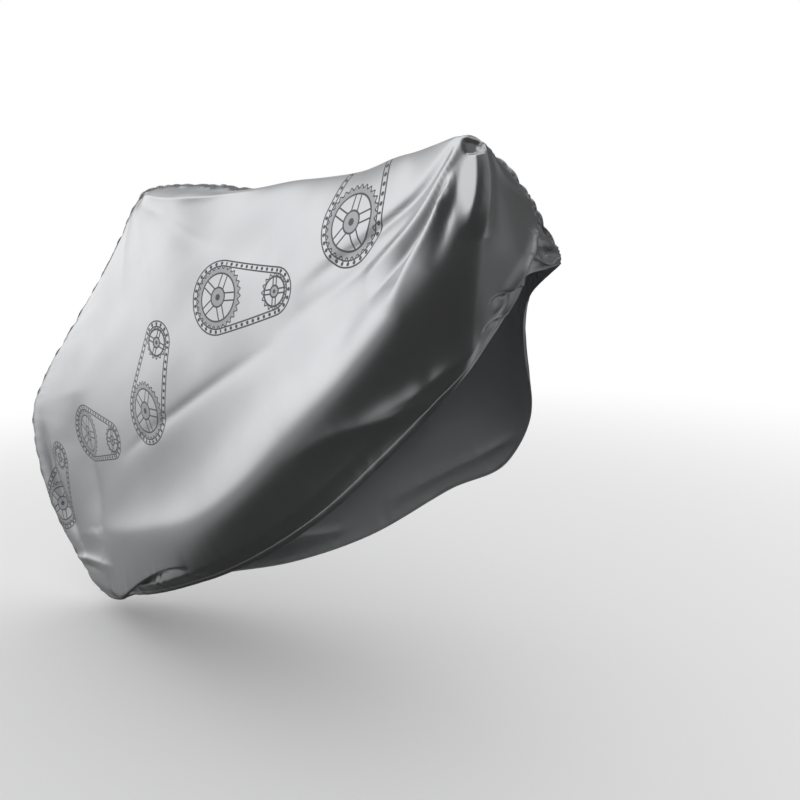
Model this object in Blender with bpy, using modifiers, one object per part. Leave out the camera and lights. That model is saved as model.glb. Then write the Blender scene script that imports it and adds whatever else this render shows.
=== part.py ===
"""Bicycle cover of silver film, in the shape in which it hangs over a bicycle.

Two mirror-cut film panels are joined by one bound seam that runs from the rear hem, up the back,
over the saddle and the handlebar, and down the front.  The bottom is open, with a drawn-in hem.

The tables give places on the worn cover in metres: x forward from the rear wheel's axle, z up from
the ground, and out, the distance from the middle plane.  The model's origin is the mount, under the
film at the saddle, so every table place is moved by MOUNT_X and MOUNT_Z at the end.
"""
from collections import namedtuple

import bpy
import numpy as np

# ---------------------------------------------------------------- driving sizes, in metres
FILM = 0.002              # thickness of the film's solid
GAP = 0.0003              # clearance between pieces that touch
MOUNT_X = 0.250           # mount: middle of the saddle
MOUNT_Z = 1.130           # height of the film's underside over the saddle
BINDING_HEIGHT = 0.008    # how far the bound seam stands up from the panels
BINDING_WIDTH = 0.003     # across the seam
BINDING_SEAT = 2 * GAP    # from the seam line to the binding's foot
EDGE_OFFSET = FILM + GAP  # from the middle plane to a panel's outer face at the seam
CELLS_ALONG = 50          # mesh cells from the rear seam to the front seam
CELLS_DOWN = 28           # mesh cells from the top seam to the hem
BINDING_CELLS = 180       # mesh cells along the binding

# Seam line in the middle plane, from the rear hem corner round to the front hem corner
SEAM_LINE = np.array([  # x, z
    (-0.236, 0.038), (-0.323, 0.132), (-0.422, 0.292), (-0.457, 0.440),
    (-0.447, 0.562), (-0.369, 0.666), (-0.195, 0.830), (-0.015, 1.011), (0.086, 1.112),
    (0.104, 1.127), (0.128, 1.133), (0.200, 1.138), (0.300, 1.130), (0.470, 1.104),
    (0.620, 1.080), (0.780, 1.064), (0.880, 1.078), (0.940, 1.104),
    (0.968, 1.112), (0.998, 1.105), (1.030, 1.072), (1.078, 0.997), (1.105, 0.952),
    (1.112, 0.930)])
REAR_CORNER = 9           # point where the back seam turns into the top seam
FRONT_CORNER = 20         # point where the top seam turns into the front seam

# Cross sections of each panel, from the rear to the front.  A section starts on the top seam at
# seam_x, crosses the shoulder fold and the belly, and ends at the hem.  Places are x, out, z.
Section = namedtuple("Section", "seam_x shoulder belly hem")
SECTION_SPLIT = (0.0, 0.12, 0.55, 1.0)    # share of the way down at seam, shoulder, belly, hem
RIGHT_SECTIONS = (
    Section(0.150, (0.165, 0.035, 1.121), (0.020, 0.095, 0.600), (-0.060, 0.045, 0.055)),
    Section(0.260, (0.290, 0.075, 1.099), (0.240, 0.150, 0.640), (0.150, 0.080, 0.155)),
    Section(0.420, (0.440, 0.070, 1.096), (0.430, 0.175, 0.690), (0.440, 0.125, 0.295)),
    Section(0.580, (0.640, 0.090, 1.101), (0.650, 0.200, 0.740), (0.700, 0.175, 0.460)),
    Section(0.740, (0.830, 0.165, 1.088), (0.840, 0.240, 0.830), (0.880, 0.215, 0.613)),
    Section(0.860, (0.955, 0.240, 1.092), (0.970, 0.285, 0.905), (0.985, 0.235, 0.712)),
    Section(0.950, (1.085, 0.330, 1.082), (1.075, 0.300, 0.940), (1.050, 0.215, 0.792)),
    Section(0.995, (1.102, 0.280, 1.058), (1.100, 0.230, 0.950), (1.076, 0.150, 0.855)),
    Section(1.020, (1.092, 0.120, 1.028), (1.100, 0.120, 0.960), (1.080, 0.070, 0.895)),
)
LEFT_SECTIONS = (
    Section(0.150, (0.165, 0.035, 1.121), (0.020, 0.095, 0.600), (-0.060, 0.045, 0.050)),
    Section(0.260, (0.270, 0.075, 1.098), (0.220, 0.160, 0.600), (0.130, 0.095, 0.115)),
    Section(0.400, (0.410, 0.080, 1.086), (0.380, 0.190, 0.600), (0.360, 0.150, 0.175)),
    Section(0.540, (0.550, 0.120, 1.072), (0.540, 0.220, 0.640), (0.580, 0.205, 0.270)),
    Section(0.680, (0.700, 0.200, 1.046), (0.680, 0.260, 0.690), (0.790, 0.240, 0.410)),
    Section(0.820, (0.820, 0.290, 1.022), (0.810, 0.310, 0.750), (0.940, 0.240, 0.500)),
    Section(0.930, (0.870, 0.335, 1.006), (0.900, 0.320, 0.800), (0.998, 0.215, 0.610)),
    Section(0.985, (0.930, 0.280, 1.014), (0.965, 0.250, 0.880), (0.995, 0.175, 0.760)),
    Section(1.015, (1.010, 0.150, 1.030), (1.030, 0.145, 0.950), (1.025, 0.100, 0.862)),
)

# Folds, drawn in side view from start to end, both x, z.  bow is how far the middle of the fold
# sags below the straight line, rear and front are its half widths on either side, and lift is how
# far it stands out of the film, below zero for a trough.
Fold = namedtuple("Fold", "start end bow rear front lift")
RIGHT_FOLDS = (
    Fold((1.080, 1.070), (0.180, 0.330), -0.030, 0.130, 0.170, 0.045),   # main ridge, grip to rear hem
    Fold((1.070, 1.078), (0.560, 0.880), 0.010, 0.030, 0.060, 0.030),    # sharp pleat beside the print
    Fold((1.065, 1.075), (0.120, 0.560), 0.030, 0.055, 0.055, -0.022),   # valley between the two
    Fold((0.120, 1.120), (0.600, 0.960), 0.030, 0.045, 0.060, -0.012),   # trough from the saddle's end
    Fold((0.110, 1.110), (-0.060, 0.560), 0.000, 0.035, 0.050, 0.008),   # crease down from the saddle
    Fold((1.085, 0.880), (0.830, 0.680), 0.010, 0.025, 0.030, 0.012),    # upper pleat over the front hem
    Fold((-0.100, 0.065), (0.200, 0.250), -0.015, 0.030, 0.030, -0.022), # slit over the rear wheel
)
LEFT_FOLDS = (
    Fold((0.865, 0.990), (0.060, 0.300), -0.020, 0.130, 0.190, 0.040),   # main ridge, grip to rear hem
    Fold((0.850, 0.998), (0.380, 0.820), 0.010, 0.040, 0.060, 0.022),    # pleat above it
    Fold((0.855, 0.995), (0.000, 0.520), 0.030, 0.055, 0.055, -0.018),   # valley between the two
    Fold((0.120, 1.120), (0.560, 0.900), 0.030, 0.045, 0.060, -0.012),   # trough from the saddle's end
    Fold((0.890, 0.980), (0.700, 0.400), 0.000, 0.060, 0.070, 0.020),    # ridge straight down from the grip
)
SEAM_HOLD = 0.045         # the folds die out within this distance of the seam
SHOULDER_HOLD = 0.10      # share of the way down above which the film lies taut, without folds
HEM_HOLD = 0.12           # share of the way down over which the elastic hem draws the folds flat
TIP_HOLD = 0.12           # share of a fold's length over which it grows from nothing


# ---------------------------------------------------------------- curves
def path_lengths(points):
    """Distance along a row of points from its first point, as shares of the whole."""
    steps = np.linalg.norm(np.diff(points, axis=0), axis=1)
    along = np.concatenate([[0.0], np.cumsum(steps)])
    return along / along[-1]


def smooth_curve(knots, values, at):
    """Cubic curve through values at knots, whose slope at a knot averages the two beside it."""
    knots = np.asarray(knots, float)
    values = np.asarray(values, float)
    width = np.diff(knots)[:, None]
    rise = np.diff(values, axis=0) / width
    slope = np.empty_like(values)
    slope[1:-1] = (rise[:-1] * width[1:] + rise[1:] * width[:-1]) / (width[1:] + width[:-1])
    slope[0], slope[-1] = rise[0], rise[-1]
    return hermite(knots, values, slope, at)


def held_curve(knots, values, at):
    """Cubic curve through values at knots that never swings past them, so that a fold stays crisp."""
    knots = np.asarray(knots, float)
    values = np.asarray(values, float)
    rise = np.diff(values, axis=0) / np.diff(knots)[:, None]
    before, after = rise[:-1], rise[1:]
    same_way = before * after > 0
    total = np.where(same_way, before + after, 1.0)
    slope = np.empty_like(values)
    slope[1:-1] = np.where(same_way, 2.0 * before * after / total, 0.0)
    slope[0], slope[-1] = rise[0], rise[-1]
    return hermite(knots, values, slope, at)


def hermite(knots, values, slope, at):
    """Values of the piecewise cubic with the given slopes."""
    span = np.clip(np.searchsorted(knots, at, side="right") - 1, 0, len(knots) - 2)
    width = (knots[span + 1] - knots[span])[:, None]
    t = ((at - knots[span]) / width[:, 0])[:, None]
    return ((2 * t**3 - 3 * t**2 + 1) * values[span] + (t**3 - 2 * t**2 + t) * width * slope[span]
            + (3 * t**2 - 2 * t**3) * values[span + 1] + (t**3 - t**2) * width * slope[span + 1])


def seam_stretch(first, last, count):
    """Even points x, z along the smooth seam curve, between two points of SEAM_LINE."""
    share = path_lengths(SEAM_LINE)
    fine = smooth_curve(share, SEAM_LINE, np.linspace(share[first], share[last], 400))
    fine_share = path_lengths(fine)
    at = np.linspace(0.0, 1.0, count)
    return np.stack([np.interp(at, fine_share, fine[:, axis]) for axis in (0, 1)], axis=1)


def smooth_step(value):
    """0 below 0, 1 above 1, and an even S between."""
    value = np.clip(value, 0.0, 1.0)
    return value * value * (3.0 - 2.0 * value)


# ---------------------------------------------------------------- the worn panels
def on_seam(line):
    """Places x, out, z on the seam, where out is 0, from points x, z."""
    return np.stack([line[:, 0], np.zeros(len(line)), line[:, 1]], axis=1)


def panel_surface(sections, folds, side):
    """Grid of points of one panel's outer face: a loft from the back seam over the sections to the
    front seam, with the folds raised on it.  side is -1 for the right and 1 for the left."""
    down = np.linspace(0.0, 1.0, CELLS_DOWN + 1)
    along = np.linspace(0.0, 1.0, CELLS_ALONG + 1)
    top = seam_stretch(REAR_CORNER, FRONT_CORNER, 400)
    lofted = [on_seam(seam_stretch(REAR_CORNER, 0, CELLS_DOWN + 1))]
    for row in sections:
        start = (row.seam_x, 0.0, np.interp(row.seam_x, top[:, 0], top[:, 1]))
        places = np.array([start, row.shoulder, row.belly, row.hem])
        lofted.append(held_curve(SECTION_SPLIT, places, down))
    lofted.append(on_seam(seam_stretch(FRONT_CORNER, len(SEAM_LINE) - 1, CELLS_DOWN + 1)))
    lofted = np.array(lofted)
    flat = smooth_curve(path_lengths(lofted.mean(axis=1)), lofted.reshape(len(lofted), -1), along)
    grid = flat.reshape(CELLS_ALONG + 1, CELLS_DOWN + 1, 3)
    # draw the top row onto the seam curve, letting go at the shoulder
    seam_z = np.interp(grid[:, 0, 0], top[:, 0], top[:, 1])
    grid[..., 2] += (seam_z - grid[:, 0, 2])[:, None] * np.clip(1.0 - down / SECTION_SPLIT[1], 0.0, 1.0)
    free = smooth_step((down - SHOULDER_HOLD) / SHOULDER_HOLD) * smooth_step((1.0 - down) / HEM_HOLD)
    grid = grid + outward(grid) * (fold_lift(grid, folds) * free)[..., None]
    grid[..., 1] = side * (grid[..., 1] + EDGE_OFFSET)
    return grid


def outward(grid):
    """Unit normals of the grid, on the side that faces away from the middle plane."""
    normal = np.cross(np.gradient(grid, axis=0), np.gradient(grid, axis=1))
    normal *= np.sign(normal[CELLS_ALONG // 2, CELLS_DOWN // 2, 1])
    return normal / np.maximum(np.linalg.norm(normal, axis=2, keepdims=True), 1e-9)


def fold_lift(grid, folds):
    """Height of all the folds at each grid point.  A fold is a rounded ridge along a bowed line."""
    spot = grid[..., [0, 2]]
    lift = np.zeros(spot.shape[:2])
    for fold in folds:
        start, end = np.array(fold.start), np.array(fold.end)
        run = end - start
        length = np.linalg.norm(run)
        run = run / length
        across = np.array([run[1], -run[0]]) * np.sign(run[0] or 1.0)
        share = ((spot - start) @ run) / length
        bowed = fold.bow * 4.0 * share * (1.0 - share)
        off = (spot - start) @ across - bowed
        half = np.where(off < 0.0, fold.rear, fold.front)
        grown = smooth_step(share / TIP_HOLD) * smooth_step((1.0 - share) / (2.0 * TIP_HOLD))
        lift += fold.lift * grown * np.exp(-(off / half) ** 2)
    return lift * smooth_step(grid[..., 1] / SEAM_HOLD)


def grid_mesh(name, grid):
    """Mesh of quads over a grid of points."""
    rows, columns = grid.shape[:2]
    index = np.arange(rows * columns).reshape(rows, columns)
    quads = np.stack([index[:-1, :-1], index[1:, :-1], index[1:, 1:], index[:-1, 1:]], axis=-1)
    mesh = bpy.data.meshes.new(name)
    mesh.from_pydata(grid.reshape(-1, 3).tolist(), [], quads.reshape(-1, 4).tolist())
    return mesh


# ---------------------------------------------------------------- objects
def plain_material(name, colour, metallic, roughness):
    """Principled material with one colour."""
    material = bpy.data.materials.new(name)
    material.use_nodes = True
    shader = material.node_tree.nodes["Principled BSDF"]
    shader.inputs["Base Color"].default_value = (*colour, 1.0)
    shader.inputs["Metallic"].default_value = metallic
    shader.inputs["Roughness"].default_value = roughness
    return material


def film_object(name, grid, thickness, offset, material, collection):
    """One sheet: the grid as an open surface, thickened by a Solidify modifier."""
    mesh = grid_mesh(name, grid - np.array([MOUNT_X, 0.0, MOUNT_Z]))
    mesh.materials.append(material)
    mesh.shade_smooth()
    item = bpy.data.objects.new(name, mesh)
    collection.objects.link(item)
    wall = item.modifiers.new("film", "SOLIDIFY")
    wall.thickness = thickness
    wall.offset = offset
    wall.use_even_offset = True
    return item


def make_panel(name, sections, folds, side, material, collection):
    """One side of the cover: its outer face is the loft, and its thickness lies inside."""
    item = film_object(name, panel_surface(sections, folds, side), FILM, -1.0, material, collection)
    if side < 0:
        item.data.flip_normals()
    return item


def make_binding(name, material, collection):
    """The bound seam: a strip that stands on the two panel edges, all along the seam line."""
    line = seam_stretch(0, len(SEAM_LINE) - 1, BINDING_CELLS + 1)
    travel = np.gradient(line, axis=0)
    travel /= np.linalg.norm(travel, axis=1, keepdims=True)
    away = np.stack([-travel[:, 1], travel[:, 0]], axis=1)
    rims = [line + away * height for height in (BINDING_SEAT, BINDING_SEAT + BINDING_HEIGHT)]
    grid = np.zeros((BINDING_CELLS + 1, 2, 3))
    for row, rim in enumerate(rims):
        grid[:, row, 0], grid[:, row, 2] = rim[:, 0], rim[:, 1]
    return film_object(name, grid, BINDING_WIDTH, 0.0, material, collection)


def build():
    """Empty the scene and make the cover's three pieces."""
    for item in list(bpy.data.objects):
        bpy.data.objects.remove(item, do_unlink=True)
    cover = bpy.data.collections.new("bicycle_cover")
    bpy.context.scene.collection.children.link(cover)
    silver = plain_material("silver_film", (0.56, 0.57, 0.58), 0.7, 0.38)
    tape = plain_material("bound_seam", (0.30, 0.31, 0.32), 0.5, 0.45)
    make_panel("right_panel", RIGHT_SECTIONS, RIGHT_FOLDS, -1, silver, cover)
    make_panel("left_panel", LEFT_SECTIONS, LEFT_FOLDS, 1, silver, cover)
    make_binding("seam_binding", tape, cover)


build()
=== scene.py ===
from collections import namedtuple

import bpy
import numpy as np
from mathutils import Matrix


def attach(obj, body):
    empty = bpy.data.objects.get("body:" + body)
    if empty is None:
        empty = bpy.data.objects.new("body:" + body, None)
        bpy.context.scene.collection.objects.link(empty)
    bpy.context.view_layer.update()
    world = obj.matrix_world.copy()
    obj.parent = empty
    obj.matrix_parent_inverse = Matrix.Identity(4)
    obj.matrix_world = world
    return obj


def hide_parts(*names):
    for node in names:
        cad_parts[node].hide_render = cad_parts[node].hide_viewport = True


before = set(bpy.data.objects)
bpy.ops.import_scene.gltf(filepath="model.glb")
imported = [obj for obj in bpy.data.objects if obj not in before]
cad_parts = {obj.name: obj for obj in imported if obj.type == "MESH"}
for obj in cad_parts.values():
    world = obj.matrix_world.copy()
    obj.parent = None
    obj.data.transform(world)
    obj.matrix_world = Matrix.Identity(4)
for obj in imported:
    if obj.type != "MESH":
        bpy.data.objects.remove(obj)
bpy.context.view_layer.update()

# ---------------------------------------------------------------- viewpoint
# The cover is looked at from its right and a little ahead, from just under the height of its top, with
# a wide lens a metre and a half away.  The small shifts are those of the picture's framing.
EYE = (1.149, -1.088, -0.222)
EYE_TURN, EYE_LIFT, EYE_ROLL = np.radians((27.98, 10.21, -1.51))    # from -Y, from the level, about its line
LENS, SENSOR = 28.29, 36.0            # millimetres
SHIFT = (-0.0157, -0.0064)

lens = bpy.data.cameras.new("lens")
lens.lens = LENS
lens.sensor_width = SENSOR
lens.shift_x, lens.shift_y = SHIFT
eye = bpy.data.objects.new("eye", lens)
bpy.context.scene.collection.objects.link(eye)
eye.matrix_world = (Matrix.Translation(EYE) @ Matrix.Rotation(EYE_TURN, 4, "Z")
                    @ Matrix.Rotation(np.pi / 2.0 - EYE_LIFT, 4, "X") @ Matrix.Rotation(EYE_ROLL, 4, "Z"))
bpy.context.scene.camera = eye

# ---------------------------------------------------------------- the film's lie
# Two side panels of silver-coated film, cut as mirror images and sewn along one seam in the middle
# plane.  Each is taut over the rear hump and its side peak, bellies out between them, and is drawn
# in along the hem.

# Places are x forward, out from the middle plane and z from the ground, in metres, but in the tables in
# millimetres.  MOUNT, the underside of the film on the hump, is the model's origin.
MOUNT = np.array([0.250, 0.0, 1.130])
EDGE_OFFSET = 0.0023      # from the middle plane to a panel's outer face at the seam
ROWS_ALONG, ROWS_DOWN = 300, 158
SEAM_LINE = np.array([  # x, z in millimetres
    (-236, 38), (-323, 132), (-422, 292), (-457, 440), (-447, 562), (-369, 666), (-195, 830),
    (-9, 1006), (86, 1112), (104, 1127), (128, 1133), (200, 1138), (300, 1130), (470, 1104),
    (620, 1080), (780, 1064), (880, 1078), (940, 1104), (968, 1112), (998, 1105), (1030, 1072),
    (1078, 997), (1105, 952), (1112, 930)]) / 1000.0
SEAM_STEPS = 900          # points of a fine stretch of the seam
REAR_CORNER = 9           # where the back seam turns into the top seam
FRONT_CORNER = 20         # where the top seam turns into the front seam
TOP_STEPS = 600           # points of the top seam that heights are read from
SCALLOP = (0.085, 0.0035)  # spacing and depth of the seam's slack between its drawn-in stitches
SCALLOP_MEAN = 0.6        # share of the depth that lies inside the seam's line

# A cross section: x of its start on the seam, then its places at the shoulder, the belly and the hem,
# which come at these shares of its way down.
Section = namedtuple("Section", "seam_x shoulder belly hem")
SECTION_SPLIT = (0.0, 0.12, 0.55, 1.0)


def metres(row):
    """Sizes of a table in metres."""
    return np.array(row) / 1000.0


def run_along(points):
    """Distance along a row of points from its first."""
    return np.concatenate([[0.0], np.cumsum(np.linalg.norm(np.diff(points, axis=0), axis=1))])


def shares(points):
    """The same distances as shares of the whole length."""
    along = run_along(points)
    return along / along[-1]


def hermite(knots, values, slope, at):
    """The piecewise cubic through values with the given slopes at knots."""
    span = np.clip(np.searchsorted(knots, at, side="right") - 1, 0, len(knots) - 2)
    width = (knots[span + 1] - knots[span])[:, None]
    t = ((at - knots[span]) / width[:, 0])[:, None]
    return ((2 * t**3 - 3 * t**2 + 1) * values[span] + (t**3 - 2 * t**2 + t) * width * slope[span]
            + (3 * t**2 - 2 * t**3) * values[span + 1] + (t**3 - t**2) * width * slope[span + 1])


def smooth_curve(knots, values, at):
    """Cubic through values at knots; a knot's slope is the mean of the chords beside it, weighted
    towards the shorter."""
    knots, values = np.asarray(knots, float), np.asarray(values, float)
    width = np.diff(knots)[:, None]
    rise = np.diff(values, axis=0) / width
    slope = np.empty_like(values)
    slope[1:-1] = (rise[:-1] * width[1:] + rise[1:] * width[:-1]) / (width[1:] + width[:-1])
    slope[0], slope[-1] = rise[0], rise[-1]
    return hermite(knots, values, slope, at)


def held_curve(knots, values, at):
    """Cubic through values at knots that never swings past them: a knot's slope is the harmonic mean
    of the chords beside it, or level where they turn."""
    knots, values = np.asarray(knots, float), np.asarray(values, float)
    rise = np.diff(values, axis=0) / np.diff(knots)[:, None]
    before, after = rise[:-1], rise[1:]
    same_way = before * after > 0
    slope = np.empty_like(values)
    slope[1:-1] = np.where(same_way, 2.0 * before * after / np.where(same_way, before + after, 1.0), 0.0)
    slope[0], slope[-1] = rise[0], rise[-1]
    return hermite(knots, values, slope, at)


def ease(value):
    """0 below 0, 1 above 1, and an even S between."""
    value = np.clip(value, 0.0, 1.0)
    return value * value * (3.0 - 2.0 * value)


def crowded(count, crowds):
    """count + 1 shares from 0 to 1, closer together round each crowd (place, half width, extra): the
    running sum of a density that is 1 plus a bell at each place."""
    fine = np.linspace(0.0, 1.0, 2001)
    density = 1.0 + sum(extra * np.exp(-((fine - place) / half) ** 2) for place, half, extra in crowds)
    total = np.concatenate([[0.0], np.cumsum((density[1:] + density[:-1]) / 2.0)])
    return np.interp(np.linspace(0.0, total[-1], count + 1), total, fine)


def seam_stretch(first, last, at):
    """Points x, z at the shares at along the smooth seam, between two points of SEAM_LINE, moved across
    it by the rectified sine of its scallops, whose spacing wavers."""
    share = shares(SEAM_LINE)
    length = run_along(SEAM_LINE)[-1]
    place = np.linspace(share[first], share[last], SEAM_STEPS)
    fine = smooth_curve(share, SEAM_LINE, place)
    travel = np.gradient(fine, axis=0) * np.sign(last - first)
    travel /= np.linalg.norm(travel, axis=1, keepdims=True)
    spacing, depth = SCALLOP
    phase = np.pi * length * place / spacing
    scallop = np.abs(np.sin(phase + 0.6 * np.sin(0.31 * phase))) - SCALLOP_MEAN
    slack = depth * scallop * (0.6 + 0.4 * np.sin(0.43 * phase))
    fine = fine + np.stack([-travel[:, 1], travel[:, 0]], axis=1) * slack[:, None]
    return np.stack([np.interp(at, shares(fine), fine[:, axis]) for axis in (0, 1)], axis=1)


def on_seam(line):
    """Places x, out, z on the seam, where out is 0."""
    return np.stack([line[:, 0], np.zeros(len(line)), line[:, 1]], axis=1)


def film_loft(sections, along, down):
    """Grid of places of one panel before its folds: a smooth loft from the back seam over the cross
    sections to the front seam, its top row drawn onto the seam's curve."""
    top = seam_stretch(REAR_CORNER, FRONT_CORNER, np.linspace(0.0, 1.0, TOP_STEPS))
    rows = [on_seam(seam_stretch(REAR_CORNER, 0, down))]
    for row in sections:
        seam_x = metres(row.seam_x)
        start = (seam_x, 0.0, np.interp(seam_x, top[:, 0], top[:, 1]))
        rows.append(held_curve(SECTION_SPLIT, (start, *metres(row[1:])), down))
    rows.append(on_seam(seam_stretch(FRONT_CORNER, len(SEAM_LINE) - 1, down)))
    rows = np.array(rows)
    grid = smooth_curve(shares(rows.mean(axis=1)), rows.reshape(len(rows), -1), along)
    grid = grid.reshape(len(along), len(down), 3)
    seam_z = np.interp(grid[:, 0, 0], top[:, 0], top[:, 1])
    letting_go = np.clip(1.0 - down / SECTION_SPLIT[1], 0.0, 1.0)
    grid[..., 2] += (seam_z - grid[:, 0, 2])[:, None] * letting_go
    return grid


def outward(grid):
    """Unit normals of a grid, on the side that faces away from the middle plane."""
    normal = np.cross(np.gradient(grid, axis=0), np.gradient(grid, axis=1))
    normal *= np.sign(normal[grid.shape[0] // 2, grid.shape[1] // 2, 1])
    return normal / np.maximum(np.linalg.norm(normal, axis=2, keepdims=True), 1e-9)


def run_lengths(grid, axis):
    """Distance run along the grid's rows (axis 0) or columns (axis 1) from their first point."""
    steps = np.linalg.norm(np.diff(grid, axis=axis), axis=2)
    return np.concatenate([np.zeros_like(np.take(steps, [0], axis=axis)), np.cumsum(steps, axis=axis)],
                          axis=axis)


# A fold follows a path, drawn in side view (x, z) or in space (x, out, z).  wide is how far its flanks
# reach at its start and at its end; steep is the share of that on the path's right, seen from outside
# on the right panel; crest is the radius of its crest in reaches; lift is its height at the start,
# the middle and the end, below 0 for a trough.
Fold = namedtuple("Fold", "path wide steep crest lift")
FOLD_STEPS = 200
FOLD_TAIL = 9.0           # reaches past which a fold is nothing


def beside(spot, path, tail):
    """What lies within tail of a smooth path: which places do, and for each of them the path's direction
    at the nearest of its points, the gap to that point, how much of the gap lies ahead, the share of the
    path gone by, and the path's step.  A path drawn in side view takes the places in side view too."""
    path = metres(path)
    if path.shape[1] == 2:
        path, spot = np.insert(path, 1, 0.0, axis=1), spot * np.array([1.0, 0.0, 1.0])
    line = smooth_curve(shares(path), path, np.linspace(0.0, 1.0, FOLD_STEPS + 1))
    near = np.all((spot > line.min(axis=0) - tail) & (spot < line.max(axis=0) + tail), axis=2)
    where = spot[near]
    nearest = np.argmin(((where[:, None, :] - line) ** 2).sum(axis=-1), axis=-1)
    travel = np.gradient(line, axis=0)[nearest]
    step = np.linalg.norm(travel, axis=1)
    travel /= step[:, None]
    gap = where - line[nearest]
    ahead = (gap * travel).sum(axis=-1)
    return near, travel, gap, ahead, (nearest + ahead / step) / FOLD_STEPS, step


def fold_height(spot, normal, folds):
    """Height of all the folds at each place.  Across a fold it is lift times the exponential of minus
    the rounded distance from the fold's curve over its reach, and how far the curve lies above or below
    the film doesn't count; along it, lift follows a parabola.  A fold drawn in side view fades where the
    film turns to face forward or up."""
    height = np.zeros(spot.shape[:2])
    for fold in folds:
        wide, (first, middle, last) = metres(fold.wide), metres(fold.lift)
        near, travel, gap, ahead, share, step = beside(spot, fold.path, FOLD_TAIL * wide.max())
        in_side_view = len(fold.path[0]) == 2
        facing = np.array([0.0, 1.0, 0.0]) if in_side_view else normal[near]
        off = -(np.cross(travel, gap) * facing).sum(axis=-1)
        past = np.maximum(np.abs(share - 0.5) - 0.5, 0.0) * FOLD_STEPS * step
        share = np.clip(share, 0.0, 1.0)
        reach = wide[0] + (wide[1] - wide[0]) * share
        reach = reach * np.where(off < 0.0, 2.0 * fold.steep, 2.0 - 2.0 * fold.steep)
        crest = fold.crest * reach
        sunk = (gap * facing).sum(axis=-1) - ahead * (travel * facing).sum(axis=-1)
        across = np.maximum((gap ** 2).sum(axis=-1) - ahead ** 2 - sunk ** 2, 0.0)
        rounded = np.sqrt(across + past ** 2 + crest ** 2) - crest
        lift = (first + (4.0 * middle - 3.0 * first - last) * share
                + 2.0 * (first + last - 2.0 * middle) * share ** 2)
        if in_side_view:
            lift = lift * ease(3.0 * np.abs(normal[near][:, 1]) - 0.4)
        height[near] += lift * np.exp(-rounded / reach)
    return height


def gathers(run, away, spacing, depth, reach):
    """Small wrinkles square to an edge: along it a sine whose spacing and height waver, away from it a
    hump that is nothing at the edge and highest at reach."""
    turn = 2.0 * np.pi * run / spacing
    wave = np.sin(turn + 1.9 * np.sin(0.23 * turn + 0.7)) * (0.55 + 0.45 * np.sin(0.37 * turn + 2.0))
    return depth * wave * (away / reach) * np.exp(1.0 - away / reach)


# Long soft tension ripples in the film: turn of their crests in side view from level, spacing, height,
# and how far they waver sideways.
Ripple = namedtuple("Ripple", "turn spacing height waver")
RIPPLES = (
    Ripple(37.0, 0.097, 0.00020, 0.7),
    Ripple(30.0, 0.151, 0.00035, 0.9),
    Ripple(-61.0, 0.230, 0.00030, 0.8),
)


def ripple_height(spot):
    """Sum of sines across each ripple's crests, their phase swaying slowly along them."""
    height = np.zeros(spot.shape[:2])
    for number, row in enumerate(RIPPLES):
        turn = np.radians(row.turn)
        along = spot[..., 0] * np.cos(turn) + spot[..., 2] * np.sin(turn)
        across = spot[..., 2] * np.cos(turn) - spot[..., 0] * np.sin(turn)
        sway = row.waver * np.sin(2.0 * np.pi * along / (5.0 * row.spacing) + number)
        height += row.height * np.sin(2.0 * np.pi * across / row.spacing + sway)
    return height


# Where the film laps over itself in a Z: path x, z in side view, how far the upper film slides over the
# lower, how far its lip stands out and the pocket under it goes in, the width of the hidden return, and
# how far the slide and the rise reach above and below.
Lap = namedtuple("Lap", "path over out deep back reach")


def lapped(grid, laps):
    """Slides and raises the film beside each lap.  Above the path the slide fades exponentially from over,
    behind it the slide returns to nothing on a straight line, and the height falls from out to minus
    deep on the same line.  Both open over the first seventh of the path and close towards its end as a
    quarter cosine."""
    for lap in laps:
        over, out, deep, back, reach = metres(lap[1:])
        near, travel, gap, _, share, _ = beside(grid, lap.path, 6.0 * reach)
        facing = outward(grid)[near]
        below = np.cross(travel, gap)[:, 1]
        grown = np.cos(np.pi / 2.0 * np.clip(share, 0.0, 1.0)) ** 0.6 * ease(7.0 * share)
        returned = np.clip(1.0 - below / back, 0.0, 1.0)
        above = np.exp(-np.maximum(-below, 0.0) / reach)
        under = np.exp(-np.maximum(below - back, 0.0) / reach)
        slide = over * returned * above * grown
        height = (out * returned * above - deep * (1.0 - returned) * under) * grown
        towards = np.cross(facing, travel)
        towards *= -np.sign(towards[:, 2:])
        grid = grid.copy()
        grid[near] += towards * slide[:, None] + facing * height[:, None]
    return grid


# Where something hard presses the film flat from inside: its middle, the way it faces, its half sizes
# across and up, how far off its plane the film is drawn to it, and the share rounded at its edge.
Pressed = namedtuple("Pressed", "middle faces across up depth soft")


def press_flat(grid, presses):
    """Moves the places inside each pressed ellipse onto its plane, fading out at its rim and where the
    film turns away from the plane."""
    normal = outward(grid)
    for row in presses:
        faces = np.array(row.faces) / np.linalg.norm(row.faces)
        level = np.cross(faces, (0.0, 0.0, 1.0))
        level /= np.linalg.norm(level)
        rising = np.cross(level, faces)
        half_across, half_up, depth = metres((row.across, row.up, row.depth))
        gap = grid - metres(row.middle)
        across, up, proud = gap @ level, gap @ rising, gap @ faces
        inside = ease((1.0 - np.hypot(across / half_across, up / half_up)) / row.soft)
        inside = inside * ease(3.0 - 3.0 * np.abs(proud) / depth) * ease(2.5 * (normal @ faces) - 0.6)
        grid = grid - faces * (proud * inside)[..., None]
    return grid


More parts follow.
